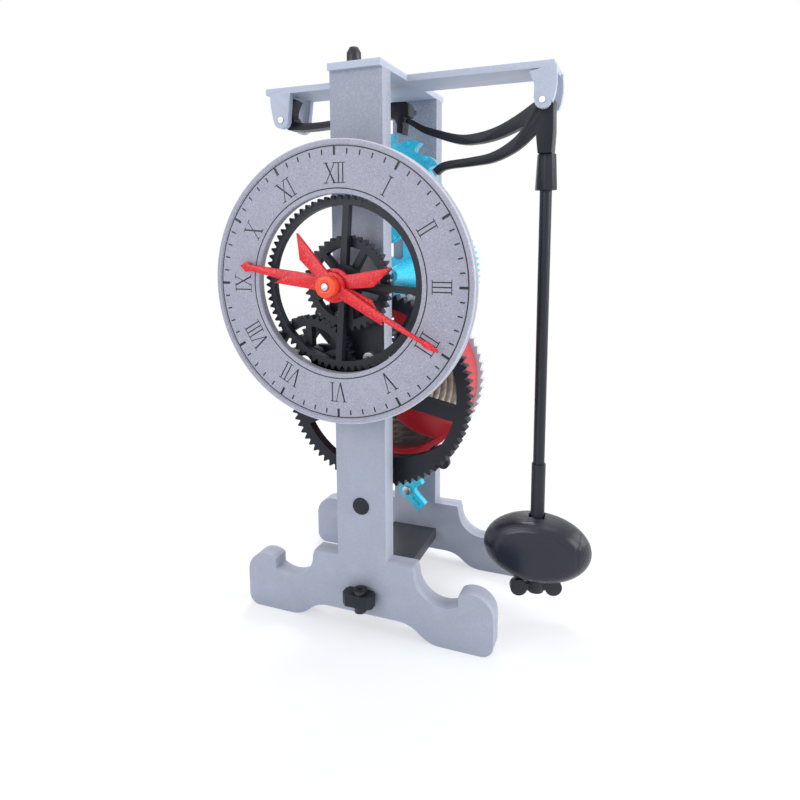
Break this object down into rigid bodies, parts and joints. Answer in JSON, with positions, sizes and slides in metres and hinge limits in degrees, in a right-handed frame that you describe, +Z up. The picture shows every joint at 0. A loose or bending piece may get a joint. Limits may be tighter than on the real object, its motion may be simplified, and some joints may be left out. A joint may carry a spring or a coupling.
{
  "type": "geared teaching clock",
  "caption": "Skeleton desk clock for teaching, with open gear train, ring dial, spring drum and pendulum working a Galileo escapement.",
  "frame": {"origin": "on the ground under the middle of the clock's box", "axes": "+X to the viewer's right, +Y from the dial to the back, +Z up"},
  "size_m": [0.1218, 0.0966, 0.1985],
  "materials": {
    "front_frame": "3-D printed, blue-grey, fine layer lines",
    "rear_frame": "3-D printed, blue-grey, fine layer lines",
    "top_bridge": "3-D printed, blue-grey, fine layer lines",
    "top_screws": "blackened steel",
    "base_tie": "3-D printed, black, fine layer lines",
    "tie_rod": "bright steel",
    "wing_knobs": "3-D printed, black, fine layer lines",
    "knob_screws": "3-D printed, black, fine layer lines",
    "column_plug": "3-D printed, black, fine layer lines",
    "bushes": "plain brass",
    "dial_ring": "3-D printed, speckled grey, black engraved marks",
    "dial_posts": "3-D printed, black, fine layer lines",
    "motion_bracket": "3-D printed, black, fine layer lines",
    "bracket_screws": "bright steel",
    "idler_stud": "bright steel",
    "detent_pin": "bright steel",
    "pendulum_pin": "bright steel",
    "click_pin": "bright steel",
    "great_wheel": "3-D printed, black, fine layer lines",
    "spring_drum": "3-D printed, dark red",
    "mainspring": "bronze strip",
    "motion_pinion": "3-D printed, black, fine layer lines",
    "winding_arbor": "bright steel",
    "spring_core": "3-D printed, black, fine layer lines",
    "ratchet_wheel": "3-D printed, pale grey",
    "winding_knob": "3-D printed, black, fine layer lines",
    "click": "3-D printed, sky blue",
    "centre_arbor": "bright steel",
    "centre_wheel": "3-D printed, sky blue",
    "centre_pinion": "3-D printed, black, fine layer lines",
    "hand_cap": "3-D printed, orange-red",
    "escape_arbor": "bright steel",
    "escape_wheel": "3-D printed, sky blue",
    "escape_pinion": "3-D printed, black, fine layer lines",
    "minute_wheel": "3-D printed, black, fine layer lines",
    "minute_hand": "3-D printed, red with sparkle",
    "hour_wheel": "3-D printed, black, fine layer lines",
    "hour_hand": "3-D printed, red with sparkle",
    "idler_wheel": "3-D printed, black, fine layer lines",
    "detent": "3-D printed, black, fine layer lines",
    "pendulum_head": "3-D printed, black, fine layer lines",
    "rod_collar": "3-D printed, black, fine layer lines",
    "pendulum_rod": "black rod",
    "rod_sleeve": "3-D printed, black, fine layer lines",
    "rating_screw": "bright steel",
    "bob_body": "3-D printed, black, fine layer lines",
    "bob_end": "3-D printed, black, fine layer lines",
    "bob_weight": "bright steel",
    "rating_nut": "3-D printed, black, fine layer lines"
  },
  "bodies": {
    "frame": {"front_frame": "front_frame", "rear_frame": "rear_frame", "top_bridge": "top_bridge", "top_screws": "top_screws", "base_tie": "base_tie", "tie_rod": "tie_rod", "wing_knobs": "wing_knobs", "knob_screws": "knob_screws", "column_plug": "column_plug", "bushes": "bushes", "dial_ring": "dial_ring", "dial_posts": "dial_posts", "motion_bracket": "motion_bracket", "bracket_screws": "bracket_screws", "idler_stud": "idler_stud", "detent_pin": "detent_pin", "pendulum_pin": "pendulum_pin", "click_pin": "click_pin"},
    "barrel": {"great_wheel": "great_wheel", "spring_drum": "spring_drum", "mainspring": "mainspring", "motion_pinion": "motion_pinion"},
    "winding": {"winding_arbor": "winding_arbor", "spring_core": "spring_core", "ratchet_wheel": "ratchet_wheel", "winding_knob": "winding_knob"},
    "click": {"click": "click"},
    "centre": {"centre_arbor": "centre_arbor", "centre_wheel": "centre_wheel", "centre_pinion": "centre_pinion", "hand_cap": "hand_cap"},
    "escape": {"escape_arbor": "escape_arbor", "escape_wheel": "escape_wheel", "escape_pinion": "escape_pinion"},
    "minute": {"minute_wheel": "minute_wheel", "minute_hand": "minute_hand"},
    "hour": {"hour_wheel": "hour_wheel", "hour_hand": "hour_hand"},
    "idler": {"idler_wheel": "idler_wheel"},
    "detent": {"detent": "detent"},
    "pendulum": {"pendulum_head": "pendulum_head", "rod_collar": "rod_collar", "pendulum_rod": "pendulum_rod", "rod_sleeve": "rod_sleeve", "rating_screw": "rating_screw"},
    "bob": {"bob_body": "bob_body", "bob_end": "bob_end", "bob_weight": "bob_weight"},
    "nut": {"rating_nut": "rating_nut"}
  },
  "joints": [
    {"name": "great_wheel_turn", "type": "hinge", "parent": "frame", "child": "barrel", "pos_m": [-0.01372, -0.00375, 0.084], "axis": [0, 1, 0], "continuous": true},
    {"name": "winding_turn", "type": "hinge", "parent": "frame", "child": "winding", "pos_m": [-0.01372, 0.02625, 0.084], "axis": [0, 1, 0], "continuous": true},
    {"name": "click_lift", "type": "hinge", "parent": "frame", "child": "click", "pos_m": [-0.01372, 0.02425, 0.0345], "axis": [0, 1, 0], "range_deg": [0, 12]},
    {"name": "centre_turn", "type": "hinge", "parent": "frame", "child": "centre", "pos_m": [-0.01372, 0.00625, 0.12379], "axis": [0, 1, 0], "continuous": true},
    {"name": "escape_turn", "type": "hinge", "parent": "frame", "child": "escape", "pos_m": [-0.01372, 0.00725, 0.15529], "axis": [0, 1, 0], "continuous": true},
    {"name": "minute_turn", "type": "hinge", "parent": "frame", "child": "minute", "pos_m": [-0.01372, -0.03075, 0.12379], "axis": [0, 1, 0], "continuous": true},
    {"name": "hour_turn", "type": "hinge", "parent": "frame", "child": "hour", "pos_m": [-0.01372, -0.03475, 0.12379], "axis": [0, 1, 0], "continuous": true},
    {"name": "idler_turn", "type": "hinge", "parent": "frame", "child": "idler", "pos_m": [-0.02738, -0.03075, 0.09792], "axis": [0, 1, 0], "continuous": true},
    {"name": "detent_lift", "type": "hinge", "parent": "frame", "child": "detent", "pos_m": [-0.05473, 0.00825, 0.1817], "axis": [0, 1, 0], "range_deg": [-3.5, 3.5]},
    {"name": "pendulum_swing", "type": "hinge", "parent": "frame", "child": "pendulum", "pos_m": [0.04108, 0.00825, 0.1812], "axis": [0, 1, 0], "range_deg": [-3.5, 3.5]},
    {"name": "bob_slide", "type": "slide", "parent": "pendulum", "child": "bob", "axis": [0, 0, 1], "range_m": [-0.003, 0.003]},
    {"name": "rating_nut_turn", "type": "hinge", "parent": "bob", "child": "nut", "pos_m": [0.04188, 0.00625, 0.01], "axis": [0, 0, 1], "range_deg": [-720, 720]}
  ],
  "couplings": [
    {"joint": "centre_turn", "follows": "great_wheel_turn", "ratio": -6.6667},
    {"joint": "escape_turn", "follows": "great_wheel_turn", "ratio": 40},
    {"joint": "idler_turn", "follows": "great_wheel_turn", "ratio": -0.33333},
    {"joint": "minute_turn", "follows": "great_wheel_turn", "ratio": 0.33333},
    {"joint": "hour_turn", "follows": "great_wheel_turn", "ratio": 0.027778},
    {"joint": "detent_lift", "follows": "pendulum_swing", "ratio": -1},
    {"joint": "rating_nut_turn", "follows": "bob_slide", "rad_per_m": 4188.8}
  ]
}
